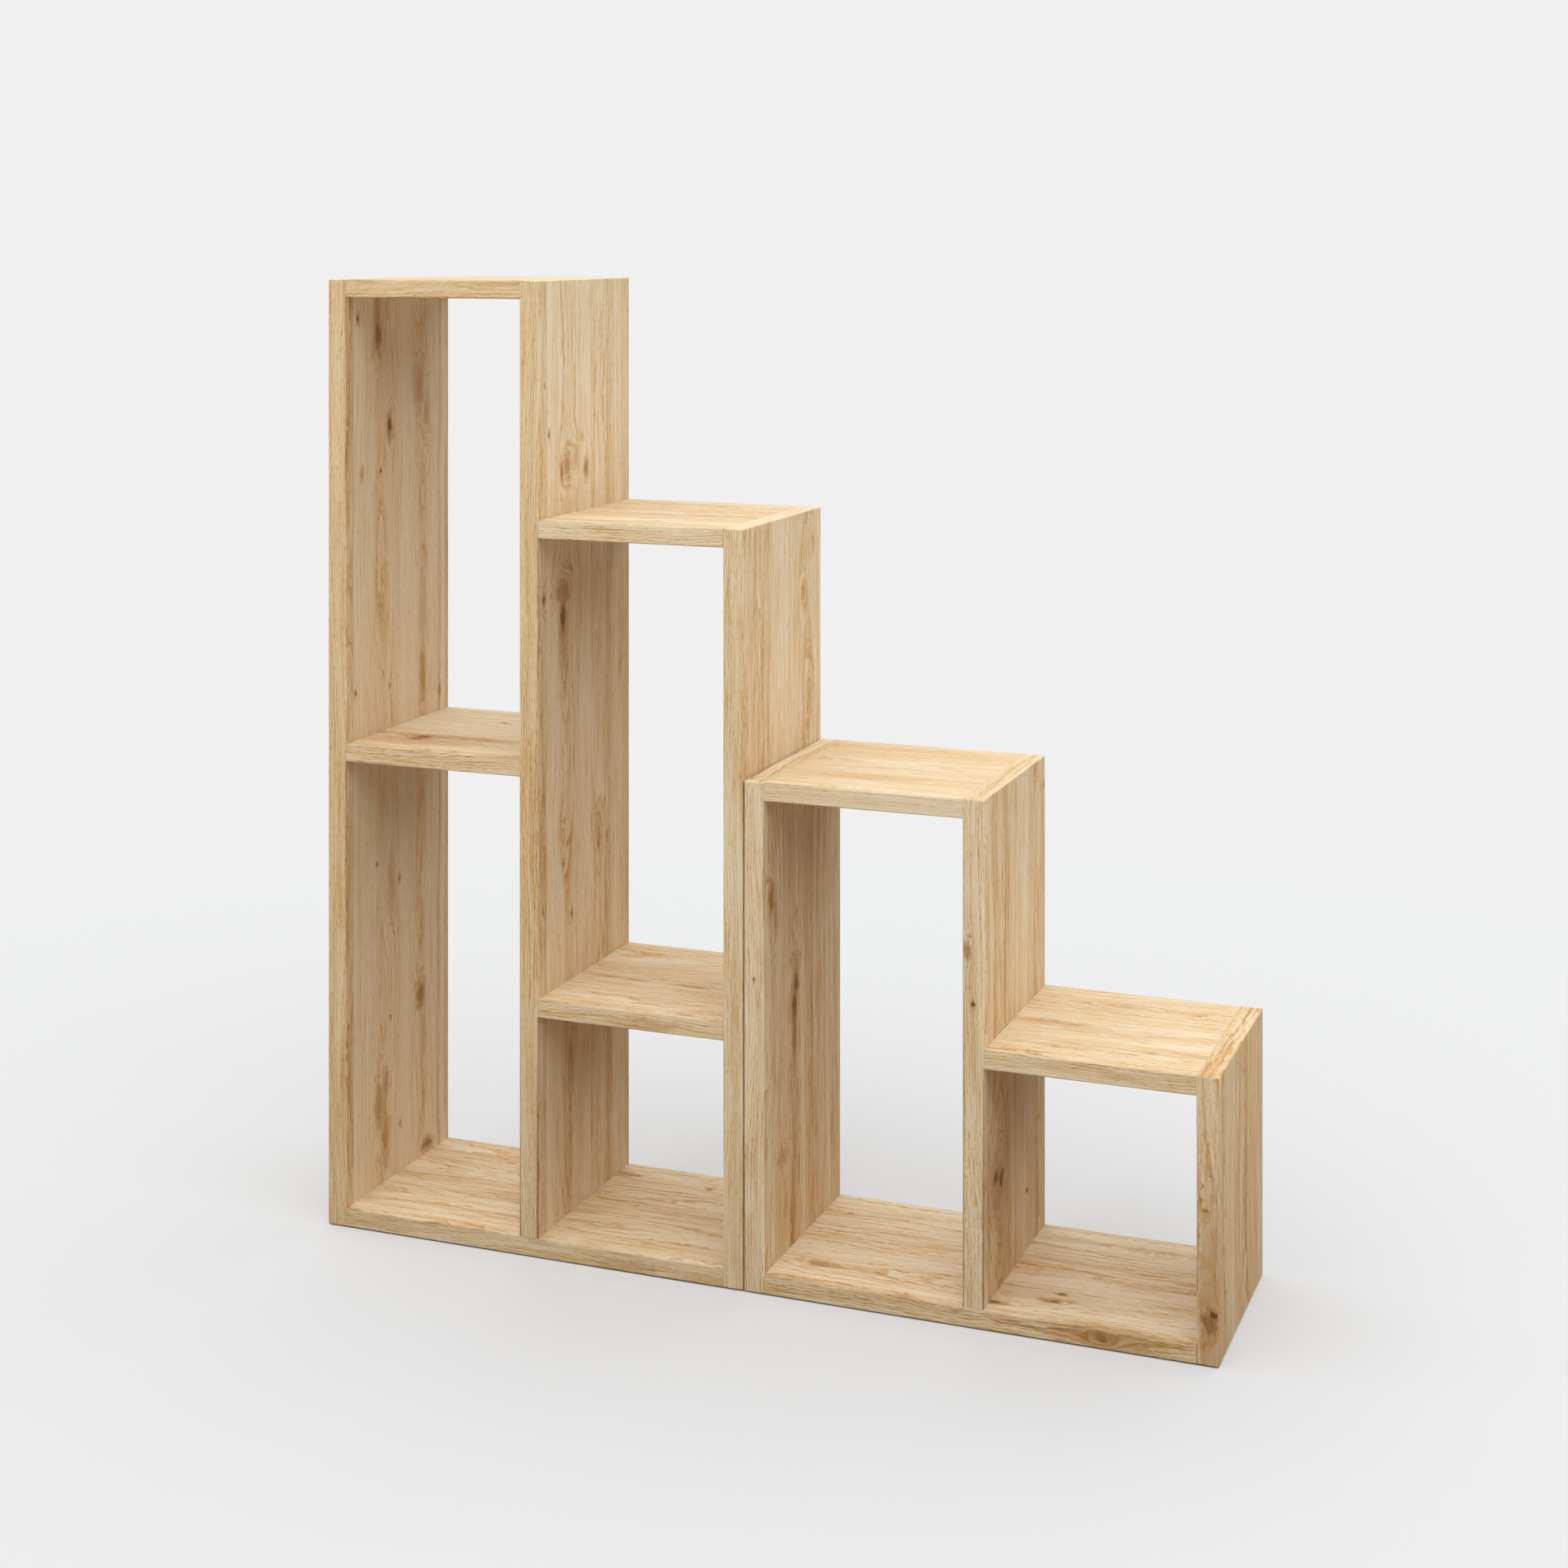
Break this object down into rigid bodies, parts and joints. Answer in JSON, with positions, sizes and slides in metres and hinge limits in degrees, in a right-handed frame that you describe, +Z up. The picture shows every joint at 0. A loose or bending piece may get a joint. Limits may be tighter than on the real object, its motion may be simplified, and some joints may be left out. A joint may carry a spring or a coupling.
{
  "type": "stepped plant stand",
  "caption": "Open-backed stepped plant stand of knotty oak: a tall and a low free-standing carcass side by side, with doweled butt joints, inner shelves and rounded edges.",
  "frame": {"origin": "on the floor under the middle of the whole stand, halfway through its depth", "axes": "+Z up; +X along the width, towards the lowest step; -Y is the front face, which looks like the back face"},
  "size_m": [1.348, 0.32, 1.423],
  "materials": {
    "oak": "oiled, satin matt",
    "beech": "bare"
  },
  "bodies": {
    "tall_carcass": {"tall_left_upright": "oak", "tall_middle_upright": "oak", "tall_right_upright": "oak", "tall_bottom_board": "oak", "tall_left_shelf": "oak", "tall_right_shelf": "oak", "tall_top_board": "oak", "tall_step_board": "oak", "dowel_tall_middle_upright_bottom_front": "beech", "dowel_tall_middle_upright_bottom_back": "beech", "dowel_tall_bottom_board_left_front": "beech", "dowel_tall_bottom_board_left_back": "beech", "dowel_tall_bottom_board_right_front": "beech", "dowel_tall_bottom_board_right_back": "beech", "dowel_tall_left_shelf_left_front": "beech", "dowel_tall_left_shelf_left_back": "beech", "dowel_tall_left_shelf_right_front": "beech", "dowel_tall_left_shelf_right_back": "beech", "dowel_tall_right_shelf_left_front": "beech", "dowel_tall_right_shelf_left_back": "beech", "dowel_tall_right_shelf_right_front": "beech", "dowel_tall_right_shelf_right_back": "beech", "dowel_tall_top_board_left_front": "beech", "dowel_tall_top_board_left_back": "beech", "dowel_tall_top_board_right_front": "beech", "dowel_tall_top_board_right_back": "beech", "dowel_tall_step_board_left_front": "beech", "dowel_tall_step_board_left_back": "beech", "dowel_tall_step_board_right_front": "beech", "dowel_tall_step_board_right_back": "beech"},
    "low_carcass": {"low_left_upright": "oak", "low_middle_upright": "oak", "low_right_upright": "oak", "low_bottom_board": "oak", "low_top_board": "oak", "low_step_board": "oak", "dowel_low_middle_upright_bottom_front": "beech", "dowel_low_middle_upright_bottom_back": "beech", "dowel_low_bottom_board_left_front": "beech", "dowel_low_bottom_board_left_back": "beech", "dowel_low_bottom_board_right_front": "beech", "dowel_low_bottom_board_right_back": "beech", "dowel_low_top_board_left_front": "beech", "dowel_low_top_board_left_back": "beech", "dowel_low_top_board_right_front": "beech", "dowel_low_top_board_right_back": "beech", "dowel_low_step_board_left_front": "beech", "dowel_low_step_board_left_back": "beech", "dowel_low_step_board_right_front": "beech", "dowel_low_step_board_right_back": "beech"}
  },
  "joints": [
    {"name": "low_carcass_slide", "type": "slide", "parent": "tall_carcass", "child": "low_carcass", "axis": [1, 0, 0], "range_m": [0, 0.35]}
  ]
}
